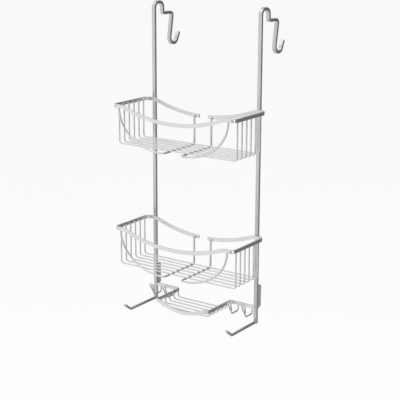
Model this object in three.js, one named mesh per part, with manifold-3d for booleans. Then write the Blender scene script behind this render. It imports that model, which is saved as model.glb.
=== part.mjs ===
// Over-door shower caddy: two flat-bar rails bent over into door hooks, two wire baskets with
// flat-bar rims, a wire soap tray, razor hooks, towel arms and plastic door spacers.
// Millimetres, +Z up, the front of the caddy faces -Y. The origin is midway between the two door
// hooks, on the underside of their arches, where the top edge of the door bears.
import * as THREE from 'three';
import { mergeVertices } from 'three/addons/utils/BufferGeometryUtils.js';
import Module from 'manifold-3d';

const wasm = await Module();
wasm.setup();

// ---- Driving dimensions ----

const WELD_GAP = 0.3; // clearance kept between two pieces that are welded or pressed together

const RAIL_SPACING = 260; // centre to centre
const RAIL_WIDTH = 8; // across the flat bar, along X
const RAIL_THICKNESS = 6;
const DOOR_GAP = 22; // clear width inside each door hook
const RAIL_DROP = 645; // from the door's top edge down to the rail's foot

const BAR_HEIGHT = 7.5; // flat bar of the basket and tray rims, standing on edge
const BAR_THICKNESS = 3;
const FLOOR_WIRE = 3; // diameters of round wire and rod
const SUPPORT_WIRE = 4;
const RAZOR_WIRE = 3.2;
const ARM_ROD = 6;
const ROD_SIDES = 10;

const BASKET_WIDTH = 299;
const BASKET_DEPTH = 114;
const BASKET_HEIGHT = 84; // from the rim's top edge down to the axis of the floor wires
const BASKET_CORNER = 11; // outer corner radius of the rim
const BASKET_DIP = { halfSpan: 130, depth: 23.5, blend: 40 }; // of the rim's front and back edges
const BASKET_TOPS = { upper: -194, lower: -453.5 }; // heights of the two rims' top edges
const STUB_GAP = 22; // opening between the rim's two ends, at the middle of the back
const BASKET_WIRES = { count: 6, pitch: 16.2 };
const WIRE_BEND = 6; // centreline radius where a floor wire turns up
const SUPPORT_OFFSET = 21; // support wires stand this far each side of the middle
const SWEEP_END = 133; // where a support wire meets the front of the rim

const TRAY_WIDTH = 135;
const TRAY_DEPTH = 82;
const TRAY_TOP = -606.6;
const TRAY_HEIGHT = 17.5;
const TRAY_DIP = { halfSpan: 60, depth: 13.5, blend: 20 };
const TRAY_CORNER = 8;
const TRAY_WIRES = { count: 5, pitch: 15.4, behindFront: 14 };

const RAZOR_HOOK_INSETS = { outer: 11.5, inner: 46 }; // inwards from a rail's centre line
const RAZOR_HOOK_REACH = 24;
const RAZOR_HOOK_DROP = 13; // below the tray's crossbar
const RAZOR_LEG = 34; // length of a razor hook's sloping front leg
const RAZOR_LEG_LEAN = THREE.MathUtils.degToRad(31); // forwards from upright
const RAZOR_EYE = { width: 8, length: 21 }; // narrow eye that ends the front leg

const ARM_REACH = 88; // from the rail to where the towel arm turns up
const ARM_TIP = 25;
const ARM_TIP_ANGLE = THREE.MathUtils.degToRad(37);
const ARM_BEND = 10;
const ARM_ABOVE_FOOT = 3; // from the rail's foot up to the arm's axis

const SPACER_HEIGHT = 49;
const SPACER_DEPTH = 10.5;
const SPACER_CHAMFER = { deep: 8, tall: 4 }; // at the lower back
const SPACER_FOOT = -612; // height of the spacer's lower end

// ---- Planes that the pieces share ----

const RAIL_X = RAIL_SPACING / 2;
const RAIL_AXIS_Y = -(DOOR_GAP + RAIL_THICKNESS) / 2; // middle of the bar's thickness
const RAIL_FRONT_Y = RAIL_AXIS_Y - RAIL_THICKNESS / 2;
const RAIL_BACK_Y = RAIL_AXIS_Y + RAIL_THICKNESS / 2;
const BASKET_BACK_Y = RAIL_FRONT_Y - WELD_GAP;
const BASKET_FRONT_Y = BASKET_BACK_Y - BASKET_DEPTH;
const TRAY_FRONT_Y = RAIL_FRONT_Y - TRAY_DEPTH;

// ---- Finishes ----

function finish(colour, roughness, metalness) {
  return () => new THREE.MeshStandardMaterial({ color: colour, roughness, metalness });
}
const satinBar = finish(0xc4c6c8, 0.35, 0.9);
const satinWire = finish(0xb4b6b9, 0.3, 0.9);
const greyPlastic = finish(0x85888b, 0.6, 0);

const caddy = new THREE.Group();

function addPiece(name, geometry, material) {
  const mesh = new THREE.Mesh(geometry, material());
  mesh.name = name;
  caddy.add(mesh);
  return mesh;
}

// ---- Bent centrelines: stations along straight runs and round bends ----

const BEND_STEP = THREE.MathUtils.degToRad(18);

// A list of corners becomes stations with the wire's direction at each. A corner's radius rounds
// it; a corner without one is an end of the run.
function bentRun(corners) {
  const stations = [];
  corners.forEach(({ at, radius = 0 }, index) => {
    const before = corners[index - 1]?.at;
    const after = corners[index + 1]?.at;
    if (!before || !after) {
      const direction = before ? at.clone().sub(before) : after.clone().sub(at);
      stations.push({ at: at.clone(), direction: direction.normalize() });
      return;
    }
    const arriving = at.clone().sub(before).normalize();
    const leaving = after.clone().sub(at).normalize();
    const turn = arriving.angleTo(leaving);
    const setback = radius * Math.tan(turn / 2);
    const start = at.clone().addScaledVector(arriving, -setback);
    const axis = arriving.clone().cross(leaving).normalize();
    const inward = axis.clone().cross(arriving);
    const centre = start.clone().addScaledVector(inward, radius);
    const steps = Math.ceil(turn / BEND_STEP - 1e-6);
    for (let step = 0; step <= steps; step += 1) {
      const angle = (turn * step) / steps;
      const spoke = inward.clone().negate().applyAxisAngle(axis, angle);
      stations.push({
        at: centre.clone().addScaledVector(spoke, radius),
        direction: arriving.clone().applyAxisAngle(axis, angle),
      });
    }
  });
  return stations;
}

// A curve whose parameter counts stations, so that an extrusion puts one section at each.
class StationCurve extends THREE.Curve {
  constructor(stations) {
    super();
    this.stations = stations;
  }

  blendAt(u, key) {
    const place = u * (this.stations.length - 1);
    const index = Math.min(Math.floor(place), this.stations.length - 2);
    const next = this.stations[index + 1][key];
    return this.stations[index][key].clone().lerp(next, place - index);
  }

  getPoint(u) {
    return this.blendAt(u, 'at');
  }

  getPointAt(u) {
    return this.blendAt(u, 'at');
  }

  getTangentAt(u) {
    return this.blendAt(u, 'direction').normalize();
  }
}

function roundWire(stations, diameter) {
  const section = new THREE.Shape();
  section.absarc(0, 0, diameter / 2, 0, 2 * Math.PI);
  return new THREE.ExtrudeGeometry(section, {
    steps: stations.length - 1,
    curveSegments: ROD_SIDES / 2, // a full circle takes two sides for each
    extrudePath: new StationCurve(stations),
  });
}

// ---- Flat shapes, and solids cut from one another ----

// The outline of a flat bar of the given thickness along stations in the XY plane of the shape.
function barOutline(stations, thickness) {
  const side = (sign) => stations.map(({ at, direction }) => new THREE.Vector2(
    at.x - (sign * direction.y * thickness) / 2,
    at.y + (sign * direction.x * thickness) / 2,
  ));
  return new THREE.Shape([...side(1), ...side(-1).reverse()]);
}

function extrude(shape, depth) {
  return new THREE.ExtrudeGeometry(shape, { depth, bevelEnabled: false, curveSegments: 6 });
}

// A shape drawn in (Y, Z) and extruded along X, centred on X = centreX.
function extrudeAlongX(shape, width, centreX) {
  const upright = new THREE.Matrix4().makeBasis(
    new THREE.Vector3(0, 1, 0),
    new THREE.Vector3(0, 0, 1),
    new THREE.Vector3(1, 0, 0),
  );
  return extrude(shape, width).applyMatrix4(upright).translate(centreX - width / 2, 0, 0);
}

// A shape drawn in (X, Z) and extruded along Y, from y = frontY to y = backY.
function extrudeAlongY(shape, frontY, backY) {
  return extrude(shape, backY - frontY).rotateX(Math.PI / 2).translate(0, backY, 0);
}

function toSolid(geometry) {
  const bare = geometry.clone();
  bare.deleteAttribute('normal');
  bare.deleteAttribute('uv');
  const merged = mergeVertices(bare);
  return new wasm.Manifold(new wasm.Mesh({
    numProp: 3,
    vertProperties: new Float32Array(merged.attributes.position.array),
    triVerts: new Uint32Array(merged.index.array),
  }));
}

function toGeometry(solid) {
  const mesh = solid.getMesh();
  const geometry = new THREE.BufferGeometry();
  geometry.setAttribute('position', new THREE.BufferAttribute(mesh.vertProperties, 3));
  geometry.setIndex(new THREE.BufferAttribute(mesh.triVerts, 1));
  return geometry;
}

// The dipping edge of a rim, seen from the front: flat ends, then a hollow arc between two
// rounded shoulders. Returns stations from -X to +X, with z measured from the flat ends.
function dippedEdge({ halfSpan, depth, blend }, halfWidth) {
  const reach = (halfSpan ** 2 + depth ** 2) / (2 * depth);
  const slope = Math.asin(halfSpan / reach);
  const hollow = reach - blend;
  const station = (x, z, angle) => ({
    at: new THREE.Vector2(x, z),
    direction: new THREE.Vector2(Math.cos(angle), Math.sin(angle)),
  });
  const stations = [station(-halfWidth, 0, 0)];
  const shoulderSteps = 5;
  const hollowSteps = 14;
  for (let step = 0; step <= shoulderSteps; step += 1) {
    const angle = (slope * step) / shoulderSteps;
    stations.push(station(-halfSpan + blend * Math.sin(angle), blend * (Math.cos(angle) - 1), -angle));
  }
  for (let step = 1; step < hollowSteps; step += 1) {
    const angle = slope * ((2 * step) / hollowSteps - 1);
    stations.push(station(hollow * Math.sin(angle), hollow * (1 - Math.cos(angle)) - depth, angle));
  }
  for (let step = shoulderSteps; step >= 0; step -= 1) {
    const angle = (slope * step) / shoulderSteps;
    stations.push(station(halfSpan - blend * Math.sin(angle), blend * (Math.cos(angle) - 1), angle));
  }
  stations.push(station(halfWidth, 0, 0));
  return stations;
}

// The band that a rim's bar fills in front view, as a solid reaching right through the caddy.
function rimBand(dip, halfWidth, top, frontY, backY) {
  const edge = dippedEdge(dip, halfWidth);
  const middle = edge.map(({ at, direction }) => ({
    at: new THREE.Vector2(
      at.x + (direction.y * BAR_HEIGHT) / 2,
      at.y + top - (direction.x * BAR_HEIGHT) / 2,
    ),
    direction,
  }));
  return toSolid(extrudeAlongY(barOutline(middle, BAR_HEIGHT), frontY, backY));
}

// ---- Rails: one flat bar each, bent over the door and up again into a hanging hook ----

const STEP_DROP = 21; // where the bar steps away behind the door
const HOOK_LEG_TOP_Y = 47.8;
const HOOK_LEG_FOOT_Y = 36.6;
const HOOK_TIP_FOOT_Y = 60;
const HOOK_TIP_Y = 70.6;
const HOOK_BOTTOM = -86.5;
const HOOK_TIP = -64;
const ARCH_BEND = 12;
const STEP_BENDS = { inner: 5, outer: 7 };
const HOOK_BEND = 12.5;

function railCentreline() {
  const corner = (y, z, radius) => ({ at: new THREE.Vector3(y, z, 0), radius });
  const archTop = RAIL_THICKNESS / 2;
  return bentRun([
    corner(RAIL_AXIS_Y, -RAIL_DROP),
    corner(RAIL_AXIS_Y, archTop, ARCH_BEND),
    corner(-RAIL_AXIS_Y, archTop, ARCH_BEND),
    corner(-RAIL_AXIS_Y, -STEP_DROP, STEP_BENDS.inner),
    corner(HOOK_LEG_TOP_Y, -STEP_DROP, STEP_BENDS.outer),
    corner(HOOK_LEG_FOOT_Y, HOOK_BOTTOM, HOOK_BEND),
    corner(HOOK_TIP_FOOT_Y, HOOK_BOTTOM, HOOK_BEND),
    corner(HOOK_TIP_Y, HOOK_TIP),
  ]);
}

function makeRail(side) {
  const outline = barOutline(railCentreline(), RAIL_THICKNESS);
  return extrudeAlongX(outline, RAIL_WIDTH, side * RAIL_X);
}

// ---- Spacers: plastic blocks behind the rails that hold the caddy off the door ----

function makeSpacer(side) {
  const front = RAIL_BACK_Y + WELD_GAP;
  const back = front + SPACER_DEPTH;
  const top = SPACER_FOOT + SPACER_HEIGHT;
  const profile = new THREE.Shape();
  profile.moveTo(front, SPACER_FOOT);
  profile.lineTo(back - SPACER_CHAMFER.deep, SPACER_FOOT);
  profile.lineTo(back, SPACER_FOOT + SPACER_CHAMFER.tall);
  profile.lineTo(back, top);
  profile.lineTo(front, top);
  return extrudeAlongX(profile, RAIL_WIDTH, side * RAIL_X);
}

// ---- Baskets ----

function roundedRectangle(halfWidth, frontY, backY, radius) {
  const quarter = Math.PI / 2;
  const shape = new THREE.Shape();
  shape.absarc(halfWidth - radius, backY - radius, radius, 0, quarter);
  shape.absarc(radius - halfWidth, backY - radius, radius, quarter, 2 * quarter);
  shape.absarc(radius - halfWidth, frontY + radius, radius, 2 * quarter, 3 * quarter);
  shape.absarc(halfWidth - radius, frontY + radius, radius, 3 * quarter, 4 * quarter);
  return shape;
}

// One loop of flat bar on edge. Its front and back both dip, and its two ends stop short of each
// other at the middle of the back.
function makeBasketRim(top) {
  const halfWidth = BASKET_WIDTH / 2;
  const plan = roundedRectangle(halfWidth, BASKET_FRONT_Y, BASKET_BACK_Y, BASKET_CORNER);
  plan.holes.push(roundedRectangle(
    halfWidth - BAR_THICKNESS,
    BASKET_FRONT_Y + BAR_THICKNESS,
    BASKET_BACK_Y - BAR_THICKNESS,
    BASKET_CORNER - BAR_THICKNESS,
  ));
  const reach = 2 * BASKET_DIP.depth;
  const wall = toSolid(extrude(plan, 2 * reach).translate(0, 0, top - reach));
  const band = rimBand(BASKET_DIP, halfWidth + 1, top, BASKET_FRONT_Y - 1, BASKET_BACK_Y + 1);
  const gap = toSolid(new THREE.BoxGeometry(STUB_GAP, 4 * BAR_THICKNESS, 2 * reach)
    .translate(0, BASKET_BACK_Y, top));
  return toGeometry(wall.intersect(band).subtract(gap));
}

const WIRE_END_BELOW_RIM = 3; // a wire's end is welded inside the rim, this far below its top

// A floor wire runs from side to side and turns up at both ends, inside the rim.
function makeFloorWire(halfWidth, y, rimTop, floor) {
  const x = halfWidth - BAR_THICKNESS - WELD_GAP - FLOOR_WIRE / 2;
  const corner = (px, pz, radius) => ({ at: new THREE.Vector3(px, y, pz), radius });
  return roundWire(bentRun([
    corner(-x, rimTop - WIRE_END_BELOW_RIM),
    corner(-x, floor, WIRE_BEND),
    corner(x, floor, WIRE_BEND),
    corner(x, rimTop - WIRE_END_BELOW_RIM),
  ]), FLOOR_WIRE);
}

const SUPPORT_BEND = 7;

// A support wire comes down the back, runs forward under the floor wires, turns outwards and
// sweeps up in a quarter of an ellipse to the lower edge of the rim's front.
function makeSupportWire(side, top) {
  const backY = BASKET_BACK_Y - BAR_THICKNESS - WELD_GAP - SUPPORT_WIRE / 2;
  const frontY = BASKET_FRONT_Y + BAR_THICKNESS / 2;
  const under = top - BASKET_HEIGHT - (FLOOR_WIRE + SUPPORT_WIRE) / 2 - WELD_GAP;
  const stubTop = top - BASKET_DIP.depth - WIRE_END_BELOW_RIM;
  const sweepStart = SUPPORT_OFFSET + SUPPORT_BEND;
  const corner = (x, y, z, radius) => ({ at: new THREE.Vector3(side * x, y, z), radius });
  const stations = bentRun([
    corner(SUPPORT_OFFSET, backY, stubTop),
    corner(SUPPORT_OFFSET, backY, under, SUPPORT_BEND),
    corner(SUPPORT_OFFSET, frontY, under, SUPPORT_BEND),
    corner(sweepStart + 1, frontY, under),
  ]);
  stations.pop();
  const wide = SWEEP_END - sweepStart;
  const tall = top - BAR_HEIGHT - WELD_GAP - under;
  const steps = 16;
  for (let step = 1; step <= steps; step += 1) {
    const angle = (Math.PI / 2) * (step / steps);
    stations.push({
      at: new THREE.Vector3(
        side * (sweepStart + wide * Math.sin(angle)),
        frontY,
        under + tall * (1 - Math.cos(angle)),
      ),
      direction: new THREE.Vector3(side * wide * Math.cos(angle), 0, tall * Math.sin(angle)).normalize(),
    });
  }
  return roundWire(stations, SUPPORT_WIRE);
}

// ---- Soap tray: one bar bent from rail to rail round three sides of the tray ----

const CROSSBAR_BEND = 5;

function makeTrayRim() {
  const end = RAIL_X - RAIL_WIDTH / 2 - WELD_GAP;
  const sideX = (TRAY_WIDTH - BAR_THICKNESS) / 2;
  const front = TRAY_FRONT_Y + BAR_THICKNESS / 2;
  const corner = (x, y, radius) => ({ at: new THREE.Vector3(x, y, 0), radius });
  const plan = barOutline(bentRun([
    corner(-end, RAIL_AXIS_Y),
    corner(-sideX, RAIL_AXIS_Y, CROSSBAR_BEND),
    corner(-sideX, front, TRAY_CORNER),
    corner(sideX, front, TRAY_CORNER),
    corner(sideX, RAIL_AXIS_Y, CROSSBAR_BEND),
    corner(end, RAIL_AXIS_Y),
  ]), BAR_THICKNESS);
  const reach = 2 * TRAY_DIP.depth;
  const wall = toSolid(extrude(plan, 2 * reach).translate(0, 0, TRAY_TOP - reach));
  const band = rimBand(TRAY_DIP, end + 1, TRAY_TOP, TRAY_FRONT_Y - 1, 0);
  return toGeometry(wall.intersect(band));
}

// ---- Razor hooks: round wire, welded behind the crossbar ----

const RAZOR_HOOK_BEND = 4.5;

// The wire comes down, runs forward and slopes up. Its end is turned back on itself in a narrow
// eye, so that no cut end points at a hand. The four hooks are the same way round.
function makeRazorHook(x) {
  const backY = RAIL_AXIS_Y + (BAR_THICKNESS + RAZOR_WIRE) / 2 + WELD_GAP;
  const bottom = TRAY_TOP - BAR_HEIGHT - RAZOR_HOOK_DROP;
  const frontCorner = new THREE.Vector3(x, backY - RAZOR_HOOK_REACH, bottom);
  const legDirection = new THREE.Vector3(0, -Math.sin(RAZOR_LEG_LEAN), Math.cos(RAZOR_LEG_LEAN));
  const onLeg = (across, up) => frontCorner.clone()
    .add(new THREE.Vector3(across, 0, 0))
    .addScaledVector(legDirection, up);
  const eyeBend = 0.4 * RAZOR_EYE.width; // leaves a little straight wire between the two bends
  return roundWire(bentRun([
    { at: new THREE.Vector3(x, backY, TRAY_TOP - 1) },
    { at: new THREE.Vector3(x, backY, bottom), radius: RAZOR_HOOK_BEND },
    { at: frontCorner, radius: RAZOR_HOOK_BEND },
    { at: onLeg(0, RAZOR_LEG), radius: eyeBend },
    { at: onLeg(RAZOR_EYE.width, RAZOR_LEG), radius: eyeBend },
    { at: onLeg(RAZOR_WIRE + WELD_GAP, RAZOR_LEG - RAZOR_EYE.length) },
  ]), RAZOR_WIRE);
}

// ---- Towel arms: round rod, butt-welded to the front of each rail's foot, tip turned up ----

function makeTowelArm(side) {
  const height = ARM_ABOVE_FOOT - RAIL_DROP;
  const rootY = RAIL_FRONT_Y - WELD_GAP;
  const turnY = RAIL_FRONT_Y - ARM_REACH;
  return roundWire(bentRun([
    { at: new THREE.Vector3(side * RAIL_X, rootY, height) },
    { at: new THREE.Vector3(side * RAIL_X, turnY, height), radius: ARM_BEND },
    {
      at: new THREE.Vector3(
        side * RAIL_X,
        turnY - ARM_TIP * Math.cos(ARM_TIP_ANGLE),
        height + ARM_TIP * Math.sin(ARM_TIP_ANGLE),
      ),
    },
  ]), ARM_ROD);
}

// ---- Assembly ----

const SIDES = [['left', -1], ['right', 1]];

for (const [name, side] of SIDES) {
  addPiece(`${name}_rail`, makeRail(side), satinBar);
  addPiece(`${name}_spacer`, makeSpacer(side), greyPlastic);
  addPiece(`${name}_towel_arm`, makeTowelArm(side), satinWire);
  for (const [place, inset] of Object.entries(RAZOR_HOOK_INSETS)) {
    addPiece(`${name}_${place}_razor_hook`, makeRazorHook(side * (RAIL_X - inset)), satinWire);
  }
}

for (const [level, top] of Object.entries(BASKET_TOPS)) {
  addPiece(`${level}_basket_rim`, makeBasketRim(top), satinBar);
  const middleY = (BASKET_FRONT_Y + BASKET_BACK_Y) / 2;
  for (let index = 0; index < BASKET_WIRES.count; index += 1) {
    const y = middleY + (index - (BASKET_WIRES.count - 1) / 2) * BASKET_WIRES.pitch;
    const wire = makeFloorWire(BASKET_WIDTH / 2, y, top, top - BASKET_HEIGHT);
    addPiece(`${level}_basket_wire_${index + 1}`, wire, satinWire);
  }
  for (const [name, side] of SIDES) {
    addPiece(`${level}_basket_${name}_support`, makeSupportWire(side, top), satinWire);
  }
}

addPiece('tray_rim', makeTrayRim(), satinBar);
for (let index = 0; index < TRAY_WIRES.count; index += 1) {
  const y = TRAY_FRONT_Y + TRAY_WIRES.behindFront + index * TRAY_WIRES.pitch;
  const wire = makeFloorWire(TRAY_WIDTH / 2, y, TRAY_TOP, TRAY_TOP - TRAY_HEIGHT);
  addPiece(`tray_wire_${index + 1}`, wire, satinWire);
}

export default caddy;
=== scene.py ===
import math

import bmesh
import bpy
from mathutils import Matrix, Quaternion, Vector


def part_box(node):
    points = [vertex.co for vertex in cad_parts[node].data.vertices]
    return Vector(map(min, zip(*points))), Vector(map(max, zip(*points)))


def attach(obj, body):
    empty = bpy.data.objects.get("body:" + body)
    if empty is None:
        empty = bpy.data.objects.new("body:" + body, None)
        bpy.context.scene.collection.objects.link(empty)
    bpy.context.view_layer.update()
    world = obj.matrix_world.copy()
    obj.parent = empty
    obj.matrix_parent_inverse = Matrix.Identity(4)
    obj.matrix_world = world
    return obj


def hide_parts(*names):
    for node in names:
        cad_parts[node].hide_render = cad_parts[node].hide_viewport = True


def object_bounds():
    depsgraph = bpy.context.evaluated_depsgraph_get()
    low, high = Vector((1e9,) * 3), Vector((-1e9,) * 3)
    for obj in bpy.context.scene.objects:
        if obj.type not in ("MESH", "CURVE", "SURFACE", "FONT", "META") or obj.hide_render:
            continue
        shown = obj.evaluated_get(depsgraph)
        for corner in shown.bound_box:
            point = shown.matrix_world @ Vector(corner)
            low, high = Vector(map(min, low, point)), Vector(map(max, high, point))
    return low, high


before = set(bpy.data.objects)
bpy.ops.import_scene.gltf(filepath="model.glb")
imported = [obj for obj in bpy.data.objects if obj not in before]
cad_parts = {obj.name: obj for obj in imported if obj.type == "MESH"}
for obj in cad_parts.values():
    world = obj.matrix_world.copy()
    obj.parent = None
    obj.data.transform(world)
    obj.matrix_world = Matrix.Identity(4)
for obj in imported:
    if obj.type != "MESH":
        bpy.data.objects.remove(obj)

cad_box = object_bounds()


# ---- Rails ----
# Two flat bars of satin-plated steel, one each side. Each runs the whole height, is bent over the
# door in an arch, steps away behind it and ends in a hook. All the bends are in one upright plane.

MM = 0.001


class Signal:
    """An output of a node. Python sums on it add Math nodes to its tree."""

    def __init__(self, tree, socket):
        self.tree = tree
        self.socket = socket

    def math(self, operation, *others):
        """The result of a Math node on this output and the others."""
        return self.tree.sum(operation, self, *others)

    def other(self, output):
        """Another output of the same node."""
        return Signal(self.tree, self.socket.node.outputs[output])

    def __add__(self, other):
        return self.math("ADD", other)

    __radd__ = __add__

    def __sub__(self, other):
        return self.math("SUBTRACT", other)

    def __rsub__(self, other):
        return self.tree.sum("SUBTRACT", other, self)

    def __mul__(self, other):
        return self.math("MULTIPLY", other)

    __rmul__ = __mul__

    def __truediv__(self, other):
        return self.math("DIVIDE", other)

    def __rtruediv__(self, other):
        return self.tree.sum("DIVIDE", other, self)

    def __gt__(self, other):
        return self.math("GREATER_THAN", other)

    def __lt__(self, other):
        return self.math("LESS_THAN", other)

    def between(self, low, high):
        """This value held inside two limits."""
        return self.math("MAXIMUM", low).math("MINIMUM", high)


class Tree:
    """A shader or geometry node tree that is being written."""

    def __init__(self, tree):
        self.tree = tree

    def node(self, kind, settings=None, sockets=None, output=0):
        """Adds a node: its settings first, then the value or the link of each of its sockets."""
        made = self.tree.nodes.new(kind)
        for name, setting in (settings or {}).items():
            setattr(made, name, setting)
        for name, value in (sockets or {}).items():
            if isinstance(value, Signal):
                self.tree.links.new(value.socket, made.inputs[name])
            else:
                made.inputs[name].default_value = value
        return Signal(self, made.outputs[output]) if made.outputs else made

    def sum(self, operation, *values):
        """A Math node on these values, whether they are outputs or plain numbers."""
        return self.node("ShaderNodeMath", {"operation": operation}, dict(enumerate(values)))

    def vector(self, x, y, z):
        return self.node("ShaderNodeCombineXYZ", None, {"X": x, "Y": y, "Z": z})


class Recipe(Tree):
    """A geometry tree with named inputs. It ends in one plain body with one finish."""

    def __init__(self, name, **inputs):
        super().__init__(bpy.data.node_groups.new(name, "GeometryNodeTree"))
        for label, kind in {"Guide": "Geometry", **inputs, "Finish": "Material"}.items():
            self.tree.interface.new_socket(
                label.replace("_", " "), in_out="INPUT", socket_type=f"NodeSocket{kind}"
            )
        self.tree.interface.new_socket("Body", in_out="OUTPUT", socket_type="NodeSocketGeometry")
        self.given = self.node("NodeGroupInput").other

    def path(self, bend_steps):
        """The guide as a curve, with its corners rounded as its points ask."""
        line = self.node("GeometryNodeMeshToCurve", None, {"Mesh": self.given("Guide")})
        bend = self.node("GeometryNodeInputNamedAttribute", {"data_type": "FLOAT"}, {"Name": "bend"})
        rounded = self.node(
            "GeometryNodeFilletCurve",
            {"mode": "POLY"},
            {"Curve": line, "Count": (bend > 0) * bend_steps, "Radius": bend},
        )
        ends = self.node("GeometryNodeCurveEndpointSelection", None, {"Start Size": 1, "End Size": 1})
        dressed = self.node(
            "GeometryNodeSetCurveRadius",
            None,
            {"Curve": rounded, "Radius": 1 - ends * (1 - self.given("End Dressing"))},
        )
        return self.remember(dressed, "along", self.node("GeometryNodeSplineParameter", output="Length"))

    def remember(self, geometry, name, value, data_type="FLOAT"):
        """Keeps a value at each point, for the finish to read."""
        return self.node(
            "GeometryNodeStoreNamedAttribute",
            {"data_type": data_type, "domain": "POINT"},
            {"Geometry": geometry, "Name": name, "Value": value},
        )

    def sweep(self, path, section):
        """A closed body that follows the path, with its cross-section kept as an attribute."""
        place = self.node("GeometryNodeInputPosition")
        return self.node(
            "GeometryNodeCurveToMesh",
            None,
            {
                "Curve": path,
                "Profile Curve": self.remember(section, "across", place, "FLOAT_VECTOR"),
                "Scale": self.node("GeometryNodeInputRadius"),
                "Fill Caps": True,
            },
        )

    def deliver(self, geometry):
        """Ends the tree: smooth shading, real geometry and the finish."""
        smooth = self.node("GeometryNodeSetShadeSmooth", {"domain": "FACE"}, {"Geometry": geometry})
        real = self.node("GeometryNodeRealizeInstances", None, {"Geometry": smooth})
        painted = self.node(
            "GeometryNodeSetMaterial", None, {"Geometry": real, "Material": self.given("Finish")}
        )
        self.node("NodeGroupOutput", None, {"Body": painted})

    def make(self, name, guide, **sizes):
        """Runs the tree on a guide and keeps the result as a plain mesh."""
        sockets = {item.name: item.identifier for item in self.tree.interface.items_tree}
        seed = bpy.data.objects.new(f"{name}_seed", guide)
        bpy.context.scene.collection.objects.link(seed)
        making = seed.modifiers.new("making", "NODES")
        making.node_group = self.tree
        for label, size in sizes.items():
            making[sockets[label.replace("_", " ")]] = size
        evaluated = seed.evaluated_get(bpy.context.evaluated_depsgraph_get())
        piece = bpy.data.objects.new(name, bpy.data.meshes.new_from_object(evaluated))
        bpy.data.objects.remove(seed)
        bpy.data.meshes.remove(guide)
        bpy.context.scene.collection.objects.link(piece)
        return piece


def add_bar_section(recipe, width, thickness, edge):
    """A flat bar's outline with softened edges. A second point stands just inside each flat, so
    that the flats stay truly flat when they are shaded."""
    arc_steps = 3
    steps = arc_steps + 3
    inside = 0.2 * MM
    index = recipe.node("GeometryNodeInputIndex")
    corner = (index / steps).math("FLOOR")
    step = index - corner * steps - 1
    turn = step.between(0, arc_steps)
    angle = (corner + turn / arc_steps) * (math.pi / 2)
    middle = (corner + 0.5) * (math.pi / 2)
    spread = math.sqrt(2)
    slip = (step - turn) * inside
    x = middle.math("COSINE") * spread * (width / 2 - edge) + angle.math("COSINE") * edge
    y = middle.math("SINE") * spread * (thickness / 2 - edge) + angle.math("SINE") * edge
    place = recipe.vector(x - slip * angle.math("SINE"), y + slip * angle.math("COSINE"), 0)
    points = recipe.node("GeometryNodePoints", None, {"Count": 4 * steps, "Position": place})
    # Marks the rounded edges. The finish paints a highlight there, lighter in colour, and makes them
    # smoother.
    edge_highlight_and_polish = recipe.remember(points, "edge_highlight_and_polish", 1 - (step - turn).math("ABSOLUTE"))
    outline = recipe.node("GeometryNodePointsToCurves", None, {"Points": edge_highlight_and_polish})
    return recipe.node("GeometryNodeSetSplineCyclic", None, {"Geometry": outline, "Cyclic": True})


def guide_line(corners, dressing=0.4 * MM, margin=0.25 * MM):
    """Edges along a bent bar or wire, from a list of places and bend radii. Extra points stand near
    both ends and just outside each bend, so that the straights stay straight when shaded."""
    points = []
    last = len(corners) - 1
    for index, (place, radius) in enumerate(corners):
        before = (place - corners[max(index - 1, 0)][0]).normalized()
        after = (corners[min(index + 1, last)][0] - place).normalized()
        if index == 0:
            points += [(place, 0), (place + after * dressing, 0)]
        elif index == last:
            points += [(place - before * dressing, 0), (place, 0)]
        elif radius > 0:
            clear = radius * math.tan(before.angle(after) / 2) + margin
            points += [(place - before * clear, 0), (place, radius), (place + after * clear, 0)]
        else:
            points.append((place, 0))
    places = [place for place, radius in points]
    edges = [(start, start + 1) for start in range(len(points) - 1)]
    guide = bpy.data.meshes.new("guide")
    guide.from_pydata(places, edges, [])
    bends = guide.attributes.new("bend", "FLOAT", "POINT")
    bends.data.foreach_set("value", [radius for place, radius in points])
    return guide


def new_finish(name, **shader_settings):
    """A new material, its tree and its shader, with the settings that don't vary over the surface."""
    finish = bpy.data.materials.new(name)
    finish.use_nodes = True
    finish.node_tree.nodes.clear()
    tree = Tree(finish.node_tree)
    shader = tree.node(
        "ShaderNodeBsdfPrincipled",
        None,
        {label.replace("_", " "): value for label, value in shader_settings.items()},
    )
    tree.node("ShaderNodeOutputMaterial", None, {"Surface": shader})
    return finish, tree, shader.socket.node


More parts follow.
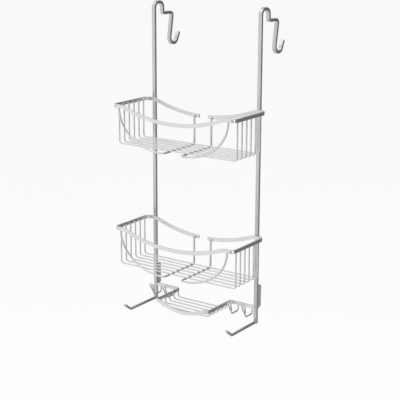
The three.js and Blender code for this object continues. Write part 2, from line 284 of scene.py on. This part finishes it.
def satin_plating(name, dark, light, roughness):
    """Satin chrome plating on drawn steel: fine lines along the metal, soft clouds in the plating,
    smoother edges, and a painted highlight that makes the colour of the rounded edges lighter."""
    lines_along = 40
    lines_across = 5200
    cloud_scale = 45
    grain_scale = 1400
    finish, tree, shader = new_finish(name, Metallic=1.0, Specular_IOR_Level=0.5)
    along = tree.node("ShaderNodeAttribute", {"attribute_name": "along"}, output="Fac")
    across = tree.node("ShaderNodeAttribute", {"attribute_name": "across"}, output="Vector")
    edge_highlight_and_polish = tree.node("ShaderNodeAttribute", {"attribute_name": "edge_highlight_and_polish"}, output="Fac")
    side = tree.node("ShaderNodeSeparateXYZ", None, {"Vector": across})
    lines_place = tree.vector(
        along * lines_along, side * lines_across, side.other("Y") * lines_across
    )
    lines = tree.node(
        "ShaderNodeTexNoise", None, {"Vector": lines_place, "Scale": 1, "Detail": 3, "Roughness": 0.6}
    )
    place = tree.node("ShaderNodeTexCoord", output="Object")
    clouds = tree.node("ShaderNodeTexNoise", None, {"Vector": place, "Scale": cloud_scale, "Detail": 3})
    grain = tree.node("ShaderNodeTexNoise", None, {"Vector": place, "Scale": grain_scale, "Detail": 2})
    # Painted highlight: the rounded edges are made lighter in colour, as if they caught the light.
    tone = (0.5 + (clouds - 0.5) * 0.9 + (lines - 0.5) * 0.5 + edge_highlight_and_polish * 0.25).between(0, 1)
    colour = tree.node(
        "ShaderNodeMix", {"data_type": "RGBA"}, {0: tone, 6: (*dark, 1), 7: (*light, 1)}, output=2
    )
    soft = roughness + (clouds - 0.5) * 0.10 + (lines - 0.5) * 0.08 - edge_highlight_and_polish * 0.06
    relief = tree.node(
        "ShaderNodeBump",
        None,
        {"Strength": 0.25, "Distance": 0.03 * MM, "Height": lines * 0.6 + grain * 0.4},
    )
    tree.tree.links.new(colour.socket, shader.inputs["Base Color"])
    tree.tree.links.new(soft.between(0.15, 0.7).socket, shader.inputs["Roughness"])
    tree.tree.links.new(relief.socket, shader.inputs["Normal"])
    return finish


satin_bar = satin_plating("satin_bar", (0.58, 0.583, 0.59), (0.72, 0.723, 0.73), 0.34)
BAR_BEND_STEPS = 12

flat_bar = Recipe(
    "flat bar bent in one plane",
    Bar_Width="Float",
    Bar_Thickness="Float",
    Edge_Radius="Float",
    End_Dressing="Float",
)
bar_path = flat_bar.node(
    "GeometryNodeSetCurveNormal",
    {"mode": "FREE"},
    {"Curve": flat_bar.path(BAR_BEND_STEPS), "Normal": (1, 0, 0)},
)
bar_section = add_bar_section(
    flat_bar, flat_bar.given("Bar Width"), flat_bar.given("Bar Thickness"), flat_bar.given("Edge Radius")
)
flat_bar.deliver(flat_bar.sweep(bar_path, bar_section))

RAIL_THICKNESS = 6 * MM
RAIL_EDGE = 1.0 * MM
BAR_END_DRESSING = 0.9
ARCH_BEND = 12 * MM
STEP_DROP = 21 * MM
STEP_BENDS = (5 * MM, 7 * MM)
HOOK_BEND = 12.5 * MM
HOOK_LEG_BACK = (47.8 * MM, 36.6 * MM)
HOOK_BOTTOM = -86.5 * MM
HOOK_TIP_BACK = (60 * MM, 70.6 * MM)
HOOK_TIP_HEIGHT = -64 * MM

for side in ("left", "right"):
    low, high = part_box(f"{side}_rail")
    x = (low.x + high.x) / 2
    front = low.y + RAIL_THICKNESS / 2
    crown = high.z - RAIL_THICKNESS / 2
    route = [
        (Vector((x, front, low.z)), 0),
        (Vector((x, front, crown)), ARCH_BEND),
        (Vector((x, -front, crown)), ARCH_BEND),
        (Vector((x, -front, -STEP_DROP)), STEP_BENDS[0]),
        (Vector((x, HOOK_LEG_BACK[0], -STEP_DROP)), STEP_BENDS[1]),
        (Vector((x, HOOK_LEG_BACK[1], HOOK_BOTTOM)), HOOK_BEND),
        (Vector((x, HOOK_TIP_BACK[0], HOOK_BOTTOM)), HOOK_BEND),
        (Vector((x, HOOK_TIP_BACK[1], HOOK_TIP_HEIGHT)), 0),
    ]
    rail = flat_bar.make(
        f"{side}_rail_bar",
        guide_line(route),
        Bar_Width=high.x - low.x,
        Bar_Thickness=RAIL_THICKNESS,
        Edge_Radius=RAIL_EDGE,
        End_Dressing=BAR_END_DRESSING,
        Finish=satin_bar,
    )
    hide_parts(f"{side}_rail")
    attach(rail, "root")


# ---- Spacers ----
# A grey plastic block pushed on behind the foot of each rail, which keeps the caddy upright against
# the door. It is moulded, with soft edges, a chamfer at its lower back and a fine sparked texture.

CHAMFER_DEEP = 8 * MM
CHAMFER_TALL = 4 * MM
SPACER_EDGE = 0.9 * MM


def moulded_grey():
    """Grey plastic with a fine sparked surface and faint flow clouds."""
    spark_scale = 2600
    flow_scale = 90
    finish, tree, shader = new_finish("moulded_grey", Metallic=0.0, Specular_IOR_Level=0.4)
    place = tree.node("ShaderNodeTexCoord", output="Object")
    spark = tree.node("ShaderNodeTexNoise", None, {"Vector": place, "Scale": spark_scale, "Detail": 2})
    flow = tree.node("ShaderNodeTexNoise", None, {"Vector": place, "Scale": flow_scale, "Detail": 3})
    tone = (0.5 + (flow - 0.5) * 0.9 + (spark - 0.5) * 0.4).between(0, 1)
    colour = tree.node(
        "ShaderNodeMix",
        {"data_type": "RGBA"},
        {0: tone, 6: (0.20, 0.205, 0.212, 1), 7: (0.29, 0.295, 0.302, 1)},
        output=2,
    )
    relief = tree.node(
        "ShaderNodeBump", None, {"Strength": 0.5, "Distance": 0.06 * MM, "Height": spark}
    )
    tree.tree.links.new(colour.socket, shader.inputs["Base Color"])
    tree.tree.links.new((0.5 + (flow - 0.5) * 0.2).socket, shader.inputs["Roughness"])
    tree.tree.links.new(relief.socket, shader.inputs["Normal"])
    return finish


grey_plastic = moulded_grey()

for side in ("left", "right"):
    low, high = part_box(f"{side}_spacer")
    profile = [
        (low.y, low.z),
        (high.y - CHAMFER_DEEP, low.z),
        (high.y, low.z + CHAMFER_TALL),
        (high.y, high.z),
        (low.y, high.z),
    ]
    block = bmesh.new()
    face = block.faces.new([block.verts.new((low.x, y, z)) for y, z in profile])
    far_side = bmesh.ops.extrude_face_region(block, geom=[face])["geom"]
    far_corners = [item for item in far_side if isinstance(item, bmesh.types.BMVert)]
    bmesh.ops.translate(block, verts=far_corners, vec=(high.x - low.x, 0, 0))
    bmesh.ops.bevel(
        block, geom=list(block.edges), offset=SPACER_EDGE, segments=4, profile=0.5, affect="EDGES"
    )
    bmesh.ops.recalc_face_normals(block, faces=list(block.faces))
    mesh = bpy.data.meshes.new(f"{side}_spacer_block")
    block.to_mesh(mesh)
    block.free()
    mesh.shade_smooth()
    mesh.materials.append(grey_plastic)
    spacer = bpy.data.objects.new(f"{side}_spacer_block", mesh)
    bpy.context.scene.collection.objects.link(spacer)
    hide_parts(f"{side}_spacer")
    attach(spacer, "root")


# ---- Basket rims ----
# One loop of flat satin bar on edge for each basket. It is rolled so that its front and back dip,
# bent round four corners, and its two ends stop short of each other in the middle of the back. Its
# plating is a little brighter than the rails'.

BAR_HEIGHT = 7.5 * MM
BAR_THICKNESS = 3 * MM
BAR_EDGE = 0.6 * MM
BASKET_CORNER = 9.5 * MM
BASKET_GAP = 22 * MM
BASKET_DIP = {"Dip_Half_Span": 130 * MM, "Dip_Depth": 23.5 * MM, "Shoulder_Radius": 40 * MM}
BASKET_STATIONS = 1.5 * MM

bright_rim = satin_plating("bright_rim", (0.70, 0.703, 0.71), (0.84, 0.843, 0.85), 0.28)

dipping_bar = Recipe(
    "flat bar on edge with a dip",
    Rim_Top="Float",
    Dip_Half_Span="Float",
    Dip_Depth="Float",
    Shoulder_Radius="Float",
    Bar_Height="Float",
    Bar_Thickness="Float",
    Edge_Radius="Float",
    End_Dressing="Float",
    Station_Spacing="Float",
)


def dip_height(recipe, x):
    """Height of the middle of the bar below the rim's top: a hollow arc between two shoulders."""
    span = recipe.given("Dip Half Span")
    depth = recipe.given("Dip Depth")
    shoulder = recipe.given("Shoulder Radius")
    half_bar = recipe.given("Bar Height") / 2
    reach = (span * span + depth * depth) / (2 * depth)
    hollow = reach - shoulder + half_bar
    crest = shoulder - half_bar
    out = x.math("ABSOLUTE")
    in_hollow = out < hollow * span / reach
    in_shoulder = (out < span) * (1 - in_hollow)
    hollow_height = reach - shoulder - depth - (hollow * hollow - x * x).between(0, 1).math("SQRT")
    inward = span - out
    shoulder_height = (crest * crest - inward * inward).between(0, 1).math("SQRT") - shoulder
    flat = 1 - in_hollow - in_shoulder
    return in_hollow * hollow_height + in_shoulder * shoulder_height - flat * half_bar


stations = dipping_bar.node(
    "GeometryNodeResampleCurve",
    {"mode": "LENGTH"},
    {"Curve": dipping_bar.path(BAR_BEND_STEPS), "Length": dipping_bar.given("Station Spacing")},
)
plan_place = dipping_bar.node("GeometryNodeInputPosition")
plan_x = dipping_bar.node("ShaderNodeSeparateXYZ", None, {0: plan_place})
rim_height = dip_height(dipping_bar, plan_x) + dipping_bar.given("Rim Top")
dipped = dipping_bar.node(
    "GeometryNodeSetPosition",
    None,
    {"Geometry": stations, "Offset": dipping_bar.vector(0, 0, rim_height)},
)
upright = dipping_bar.node("GeometryNodeSetCurveNormal", {"mode": "Z_UP"}, {"Curve": dipped})
rim_section = add_bar_section(
    dipping_bar,
    dipping_bar.given("Bar Thickness"),
    dipping_bar.given("Bar Height"),
    dipping_bar.given("Edge Radius"),
)
dipping_bar.deliver(dipping_bar.sweep(upright, rim_section))

for level in ("upper", "lower"):
    low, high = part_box(f"{level}_basket_rim")
    inset = BAR_THICKNESS / 2
    left, right = low.x + inset, high.x - inset
    front, back = low.y + inset, high.y - inset
    plan = [
        (Vector((BASKET_GAP / 2, back, 0)), 0),
        (Vector((right, back, 0)), BASKET_CORNER),
        (Vector((right, front, 0)), BASKET_CORNER),
        (Vector((left, front, 0)), BASKET_CORNER),
        (Vector((left, back, 0)), BASKET_CORNER),
        (Vector((-BASKET_GAP / 2, back, 0)), 0),
    ]
    rim = dipping_bar.make(
        f"{level}_basket_rim_bar",
        guide_line(plan),
        Rim_Top=high.z,
        **BASKET_DIP,
        Bar_Height=BAR_HEIGHT,
        Bar_Thickness=BAR_THICKNESS,
        Edge_Radius=BAR_EDGE,
        End_Dressing=BAR_END_DRESSING,
        Station_Spacing=BASKET_STATIONS,
        Finish=bright_rim,
    )
    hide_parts(f"{level}_basket_rim")
    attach(rim, "root")


# ---- Basket wires ----
# Round satin wire. The floor wires run from side to side, six in a row, and turn up inside the rim.
# Two thicker supports pass under them and sweep up, in a quarter of an ellipse, to the rim's front.

BASKET_WIRES = 6
FLOOR_WIRE = 3 * MM
WIRE_BEND = 6 * MM
SUPPORT_WIRE = 4 * MM
SUPPORT_BEND = 7 * MM
STUB_BELOW_DIP = 3 * MM
SWEEP_LEAD = 0.6 * MM
SWEEP_STEPS = 28
WIRE_SIDES = 20
WIRE_BEND_STEPS = 10
WIRE_END_DRESSING = 0.78
SIDES = (("left", -1), ("right", 1))

satin_wire = satin_plating("satin_wire", (0.70, 0.705, 0.715), (0.84, 0.845, 0.855), 0.31)

round_wire = Recipe(
    "row of bent round wires",
    Wire_Diameter="Float",
    End_Dressing="Float",
    Count="Int",
    Pitch="Float",
)
wire_section = round_wire.node(
    "GeometryNodeCurvePrimitiveCircle",
    {"mode": "RADIUS"},
    {"Resolution": WIRE_SIDES, "Radius": round_wire.given("Wire Diameter") / 2},
)
wire_row = round_wire.node(
    "GeometryNodeMeshLine",
    None,
    {"Count": round_wire.given("Count"), "Offset": round_wire.vector(0, round_wire.given("Pitch"), 0)},
)
round_wire.deliver(
    round_wire.node(
        "GeometryNodeInstanceOnPoints",
        None,
        {
            "Points": wire_row,
            "Instance": round_wire.sweep(round_wire.path(WIRE_BEND_STEPS), wire_section),
        },
    )
)


def floor_wires(name, nodes):
    """A row of floor wires that stands for these CAD nodes, front to back."""
    first_low, first_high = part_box(nodes[0])
    last_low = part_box(nodes[-1])[0]
    radius = FLOOR_WIRE / 2
    left, right = first_low.x + radius, first_high.x - radius
    floor, top = first_low.z + radius, first_high.z
    y = (first_low.y + first_high.y) / 2
    route = [
        (Vector((left, y, top)), 0),
        (Vector((left, y, floor)), WIRE_BEND),
        (Vector((right, y, floor)), WIRE_BEND),
        (Vector((right, y, top)), 0),
    ]
    wires = round_wire.make(
        name,
        guide_line(route),
        Wire_Diameter=FLOOR_WIRE,
        End_Dressing=WIRE_END_DRESSING,
        Count=len(nodes),
        Pitch=(last_low.y - first_low.y) / (len(nodes) - 1),
        Finish=satin_wire,
    )
    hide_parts(*nodes)
    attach(wires, "root")


def single_wire(name, node, route, diameter):
    """One bent wire or rod that stands for this CAD node."""
    wire = round_wire.make(
        name,
        guide_line(route),
        Wire_Diameter=diameter,
        End_Dressing=WIRE_END_DRESSING,
        Count=1,
        Pitch=0.0,
        Finish=satin_wire,
    )
    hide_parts(node)
    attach(wire, "root")


def basket_wire_nodes(level):
    """The names of a basket's floor wires, front to back."""
    return [f"{level}_basket_wire_{number}" for number in range(1, BASKET_WIRES + 1)]


def support_reach(low, high, sign):
    """How far from the caddy's middle a support stands at its stub and at the top of its sweep."""
    stub = (low.x if sign > 0 else -high.x) + SUPPORT_WIRE / 2
    sweep_top = (high.x if sign > 0 else -low.x) - SUPPORT_WIRE / 2
    return stub, sweep_top


for level in ("upper", "lower"):
    floor_wires(f"{level}_basket_floor_wires", basket_wire_nodes(level))
    rim_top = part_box(f"{level}_basket_rim")[1].z
    for side, sign in SIDES:
        low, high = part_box(f"{level}_basket_{side}_support")
        inner, outer = support_reach(low, high, sign)
        radius = SUPPORT_WIRE / 2
        front, back = low.y + radius, high.y - radius
        under = low.z + radius
        stub_top = rim_top - BASKET_DIP["Dip_Depth"] - STUB_BELOW_DIP
        turn_end = inner + SUPPORT_BEND
        wide = outer - turn_end
        tall = high.z - under
        route = [
            (Vector((sign * inner, back, stub_top)), 0),
            (Vector((sign * inner, back, under)), SUPPORT_BEND),
            (Vector((sign * inner, front, under)), SUPPORT_BEND),
            (Vector((sign * (turn_end + SWEEP_LEAD), front, under)), 0),
        ]
        for step in range(1, SWEEP_STEPS + 1):
            angle = math.pi / 2 * step / SWEEP_STEPS
            sweep_x = turn_end + wide * math.sin(angle)
            sweep_z = under + tall * (1 - math.cos(angle))
            route.append((Vector((sign * sweep_x, front, sweep_z)), 0))
        single_wire(
            f"{level}_basket_{side}_support_wire",
            f"{level}_basket_{side}_support",
            route,
            SUPPORT_WIRE,
        )


# ---- Soap tray ----
# One flat bar from rail to rail is both crossbar and tray rim: it turns forward, round the tray's
# two front corners and back, and only the front dips. Five floor wires turn up inside it.

TRAY_CORNER = 8 * MM
CROSSBAR_BEND = 5 * MM
TRAY_DIP = {"Dip_Half_Span": 60 * MM, "Dip_Depth": 13.5 * MM, "Shoulder_Radius": 20 * MM}
TRAY_STATIONS = 1.0 * MM
TRAY_WIRES = 5
TRAY_WIRE_GAP = 0.3 * MM
SQUARE_END = 1.0

low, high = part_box("tray_rim")
tray_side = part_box("tray_wire_1")[1].x + TRAY_WIRE_GAP + BAR_THICKNESS / 2
tray_front = low.y + BAR_THICKNESS / 2
crossbar_y = high.y - BAR_THICKNESS / 2
tray_plan = [
    (Vector((low.x, crossbar_y, 0)), 0),
    (Vector((-tray_side, crossbar_y, 0)), CROSSBAR_BEND),
    (Vector((-tray_side, tray_front, 0)), TRAY_CORNER),
    (Vector((tray_side, tray_front, 0)), TRAY_CORNER),
    (Vector((tray_side, crossbar_y, 0)), CROSSBAR_BEND),
    (Vector((high.x, crossbar_y, 0)), 0),
]
tray_rim = dipping_bar.make(
    "tray_rim_bar",
    guide_line(tray_plan),
    Rim_Top=high.z,
    **TRAY_DIP,
    Bar_Height=BAR_HEIGHT,
    Bar_Thickness=BAR_THICKNESS,
    Edge_Radius=BAR_EDGE,
    End_Dressing=SQUARE_END,
    Station_Spacing=TRAY_STATIONS,
    Finish=bright_rim,
)
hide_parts("tray_rim")
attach(tray_rim, "root")

tray_wire_nodes = [f"tray_wire_{number}" for number in range(1, TRAY_WIRES + 1)]
floor_wires("tray_floor_wires", tray_wire_nodes)


# ---- Razor hooks ----
# Two wire hooks on each side, welded behind the crossbar. Each comes down, runs forward and slopes
# up, and its end is turned back beside itself in a narrow eye.

HOOK_WIRE = 3.2 * MM
HOOK_REACH = 24 * MM
HOOK_CORNER = 4.5 * MM
HOOK_BELOW_RIM_TOP = 1 * MM
HOOK_LEG = 34 * MM
HOOK_LEAN = math.radians(31)
EYE_WIDTH = 8 * MM
EYE_LENGTH = 21 * MM
EYE_BEND = 0.4 * EYE_WIDTH
EYE_GAP = 0.3 * MM

rim_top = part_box("tray_rim")[1].z
for side in ("left", "right"):
    for place in ("outer", "inner"):
        node = f"{side}_{place}_razor_hook"
        low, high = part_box(node)
        radius = HOOK_WIRE / 2
        x = low.x + radius
        back = high.y - radius
        bottom = low.z + radius
        corner = Vector((x, back - HOOK_REACH, bottom))
        rise = Vector((0, -math.sin(HOOK_LEAN), math.cos(HOOK_LEAN)))
        beside = Vector((HOOK_WIRE + EYE_GAP, 0, 0))
        route = [
            (Vector((x, back, rim_top - HOOK_BELOW_RIM_TOP)), 0),
            (Vector((x, back, bottom)), HOOK_CORNER),
            (corner, HOOK_CORNER),
            (corner + rise * HOOK_LEG, EYE_BEND),
            (corner + rise * HOOK_LEG + Vector((EYE_WIDTH, 0, 0)), EYE_BEND),
            (corner + rise * (HOOK_LEG - EYE_LENGTH) + beside, 0),
        ]
        single_wire(f"{node}_wire", node, route, HOOK_WIRE)


# ---- Towel arms ----
# Round satin rod, cut square, welded end-on to the front of each rail's foot. It stands straight
# out and its tip is turned up so that a towel stays on.

ARM_ROD = 6 * MM
ARM_REACH = 88 * MM
ARM_BEND = 10 * MM
ARM_TIP = 25 * MM
ARM_TIP_ANGLE = math.radians(37)

for side in ("left", "right"):
    low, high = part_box(f"{side}_towel_arm")
    x = (low.x + high.x) / 2
    height = low.z + ARM_ROD / 2
    root = high.y
    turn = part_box(f"{side}_rail")[0].y - ARM_REACH
    tip = Vector((0, -math.cos(ARM_TIP_ANGLE), math.sin(ARM_TIP_ANGLE))) * ARM_TIP
    route = [
        (Vector((x, root, height)), 0),
        (Vector((x, turn, height)), ARM_BEND),
        (Vector((x, turn, height)) + tip, 0),
    ]
    single_wire(f"{side}_towel_arm_rod", f"{side}_towel_arm", route, ARM_ROD)


# ---- Welds ----
# Low beads of steel, plated with the rest, where wire meets rim, rim meets rail and rod meets foot.
# Each is a squashed, slightly uneven ball that bridges the narrow gap between the two pieces it joins.

WELD_UNEVENNESS = 0.35 * MM
RIPPLE_SCALE = 700
HALF_GAP = 0.15 * MM
WIRE_END_WELD_DROP = 2.6 * MM
STUB_WELD_DROP = 29 * MM

# Half sizes of the beads in millimetres: left to right, front to back and up and down.
WIRE_END_BEAD = (0.7, 1.5, 2.0)
CROSSING_BEAD = (1.4, 1.4, 0.8)
STUB_BEAD = (2.0, 0.6, 2.3)
SWEEP_BEAD = (2.1, 1.4, 0.9)
RAIL_BEAD = (0.9, 0.7, 3.2)
CROSSBAR_BEAD = (0.8, 1.8, 3.5)
HOOK_BEAD = (1.8, 0.6, 2.9)
FOOT_BEAD = (3.4, 0.7, 3.4)

bead_recipe = Recipe("uneven weld beads", Unevenness="Float", Seed="Float")
bead = bead_recipe.node("GeometryNodeMeshIcoSphere", None, {"Radius": 1.0, "Subdivisions": 3})
bead_size = bead_recipe.node(
    "GeometryNodeInputNamedAttribute", {"data_type": "FLOAT_VECTOR"}, {"Name": "size"}
)
bead_copies = bead_recipe.node(
    "GeometryNodeInstanceOnPoints",
    None,
    {"Points": bead_recipe.given("Guide"), "Instance": bead, "Scale": bead_size},
)
beads = bead_recipe.node("GeometryNodeRealizeInstances", None, {"Geometry": bead_copies})
ripple = bead_recipe.node(
    "ShaderNodeTexNoise",
    {"noise_dimensions": "4D"},
    {
        "Vector": bead_recipe.node("GeometryNodeInputPosition"),
        "W": bead_recipe.given("Seed"),
        "Scale": RIPPLE_SCALE,
        "Detail": 1,
    },
)
bump = bead_recipe.node(
    "ShaderNodeVectorMath",
    {"operation": "SCALE"},
    {
        "Vector": bead_recipe.node("GeometryNodeInputNormal"),
        "Scale": (ripple - 0.5) * bead_recipe.given("Unevenness"),
    },
)
bead_recipe.deliver(
    bead_recipe.node("GeometryNodeSetPosition", None, {"Geometry": beads, "Offset": bump})
)


def weld(name, spots, seed):
    """Beads at these places, from a list of places and half sizes in millimetres."""
    guide = bpy.data.meshes.new("guide")
    guide.from_pydata([place for place, size in spots], [], [])
    sizes = guide.attributes.new("size", "FLOAT_VECTOR", "POINT")
    sizes.data.foreach_set("vector", [part * MM for place, size in spots for part in size])
    made = bead_recipe.make(
        name, guide, Unevenness=WELD_UNEVENNESS, Seed=float(seed), Finish=satin_wire
    )
    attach(made, "root")


def wire_end_spots(rim_inside, wires):
    """Where the turned-up ends of floor wires touch the inside of their rim."""
    spots = []
    for wire in wires:
        low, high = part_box(wire)
        y = (low.y + high.y) / 2
        for sign in (-1, 1):
            place = Vector((sign * (rim_inside - HALF_GAP), y, high.z - WIRE_END_WELD_DROP))
            spots.append((place, WIRE_END_BEAD))
    return spots


for seed, level in enumerate(("upper", "lower")):
    wires = basket_wire_nodes(level)
    rim_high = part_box(f"{level}_basket_rim")[1]
    rim_middle = rim_high.z - BAR_HEIGHT / 2
    spots = wire_end_spots(rim_high.x - BAR_THICKNESS, wires)
    for side, sign in SIDES:
        low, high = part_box(f"{level}_basket_{side}_support")
        inner, outer = support_reach(low, high, sign)
        for wire in wires:
            wire_low, wire_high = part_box(wire)
            y = (wire_low.y + wire_high.y) / 2
            spots.append((Vector((sign * inner, y, wire_low.z - HALF_GAP)), CROSSING_BEAD))
        stub_y = rim_high.y - BAR_THICKNESS - HALF_GAP
        spots.append((Vector((sign * inner, stub_y, rim_high.z - STUB_WELD_DROP)), STUB_BEAD))
        front = low.y + SUPPORT_WIRE / 2
        spots.append((Vector((sign * outer, front, high.z + HALF_GAP)), SWEEP_BEAD))
        rail_low, rail_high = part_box(f"{side}_rail")
        for x in (rail_low.x, rail_high.x):
            spots.append((Vector((x, rail_low.y - HALF_GAP, rim_middle)), RAIL_BEAD))
    weld(f"{level}_basket_welds", spots, seed)

tray_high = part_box("tray_rim")[1]
crossbar_middle = tray_high.z - BAR_HEIGHT / 2
spots = wire_end_spots(tray_side - BAR_THICKNESS / 2, tray_wire_nodes)
for sign in (-1, 1):
    end = Vector((sign * (tray_high.x + HALF_GAP), crossbar_y, crossbar_middle))
    spots.append((end, CROSSBAR_BEAD))
for side in ("left", "right"):
    for place in ("outer", "inner"):
        hook_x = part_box(f"{side}_{place}_razor_hook")[0].x + HOOK_WIRE / 2
        spots.append((Vector((hook_x, tray_high.y + HALF_GAP, crossbar_middle)), HOOK_BEAD))
weld("tray_welds", spots, seed=2)

spots = []
for side in ("left", "right"):
    low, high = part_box(f"{side}_towel_arm")
    foot = Vector(((low.x + high.x) / 2, high.y + HALF_GAP, low.z + ARM_ROD / 2))
    spots.append((foot, FOOT_BEAD))
weld("towel_arm_welds", spots, seed=3)


# ---- Studio ----
# A plain pale floor well below the hanging caddy, a broad soft light in front, a narrow one at the
# right and a large one above. The room that the metal mirrors grows dimmer to the right and to the
# back, so that the bars' sides read against their fronts.

FLOOR_BELOW_DOOR_TOP = 1.9
FLOOR_SPAN = 60
ROOM_GLOW = 0.5
DIMMER_RIGHT = 0.26
DIMMER_BACK = 0.24
BRIGHTER_ABOVE_AND_BELOW = 0.2
GLOW_LIMITS = (0.12, 2)
FLOOR_LIGHT = 1.12

floor_mesh = bpy.data.meshes.new("floor")
half = FLOOR_SPAN / 2
floor_mesh.from_pydata(
    [
        (-half, -half, -FLOOR_BELOW_DOOR_TOP),
        (half, -half, -FLOOR_BELOW_DOOR_TOP),
        (half, half, -FLOOR_BELOW_DOOR_TOP),
        (-half, half, -FLOOR_BELOW_DOOR_TOP),
    ],
    [],
    [(0, 1, 2, 3)],
)
floor = bpy.data.objects.new("floor", floor_mesh)
bpy.context.scene.collection.objects.link(floor)
pale_floor = new_finish(
    "pale_floor", Base_Color=(0.9, 0.9, 0.9, 1), Roughness=0.9, Specular_IOR_Level=0.1
)[0]
floor_mesh.materials.append(pale_floor)
floor.visible_glossy = False

world = bpy.data.worlds.new("studio")
bpy.context.scene.world = world
world.use_nodes = True
world.node_tree.nodes.clear()
room = Tree(world.node_tree)
direction = room.node(
    "ShaderNodeSeparateXYZ", None, {0: room.node("ShaderNodeTexCoord", output="Generated")}
)
height = direction.other("Z")
sideways = ROOM_GLOW - direction * DIMMER_RIGHT - direction.other("Y") * DIMMER_BACK
glow = (sideways + height * height * BRIGHTER_ABOVE_AND_BELOW).between(*GLOW_LIMITS)
ray = room.node("ShaderNodeLightPath", output="Is Camera Ray")
plain = ray + ray.other("Is Diffuse Ray") * FLOOR_LIGHT
mirrored = 1 - ray - ray.other("Is Diffuse Ray")
strength = plain + mirrored * glow
light = room.node("ShaderNodeBackground", None, {"Color": (1, 1, 1, 1), "Strength": strength})
room.node("ShaderNodeOutputWorld", None, {"Surface": light})


def soft_light(name, place, aim, size, power):
    """A rectangular area light at a place, turned towards its aim."""
    lamp = bpy.data.lights.new(name, "AREA")
    lamp.shape = "RECTANGLE"
    lamp.size, lamp.size_y = size
    lamp.energy = power
    holder = bpy.data.objects.new(name, lamp)
    holder.location = place
    holder.rotation_euler = (Vector(aim) - Vector(place)).to_track_quat("-Z", "Y").to_euler()
    bpy.context.scene.collection.objects.link(holder)


middle = (cad_box[0] + cad_box[1]) / 2
soft_light("front_softbox", place=(-1.4, -2.2, -0.7), aim=middle, size=(1.4, 2.0), power=1.2)
soft_light("edge_strip", place=(1.9, -1.3, -0.5), aim=middle, size=(0.3, 2.0), power=6)
soft_light("top_softbox", place=(-0.3, -0.6, 1.6), aim=middle, size=(2.2, 1.4), power=7)

CAMERA_AZIMUTH = math.radians(34.92)
CAMERA_ELEVATION = math.radians(14.98)
CAMERA_ROLL = math.radians(0.2)
CAMERA_AIM = Vector((0.02649, -0.06964, -0.38302))
CAMERA_DISTANCE = 2.247
CAMERA_LENS = 99.3

camera_data = bpy.data.cameras.new("camera")
camera_data.sensor_width = 36
camera_data.lens = CAMERA_LENS
camera = bpy.data.objects.new("camera", camera_data)
bpy.context.scene.collection.objects.link(camera)
towards_camera = Vector(
    (
        math.sin(CAMERA_AZIMUTH) * math.cos(CAMERA_ELEVATION),
        -math.cos(CAMERA_AZIMUTH) * math.cos(CAMERA_ELEVATION),
        math.sin(CAMERA_ELEVATION),
    )
)
camera.location = CAMERA_AIM + towards_camera * CAMERA_DISTANCE
level_view = towards_camera.to_track_quat("Z", "Y")
camera.rotation_euler = (level_view @ Quaternion((0, 0, 1), CAMERA_ROLL)).to_euler()
bpy.context.scene.camera = camera
bpy.context.scene.view_settings.view_transform = "Standard"
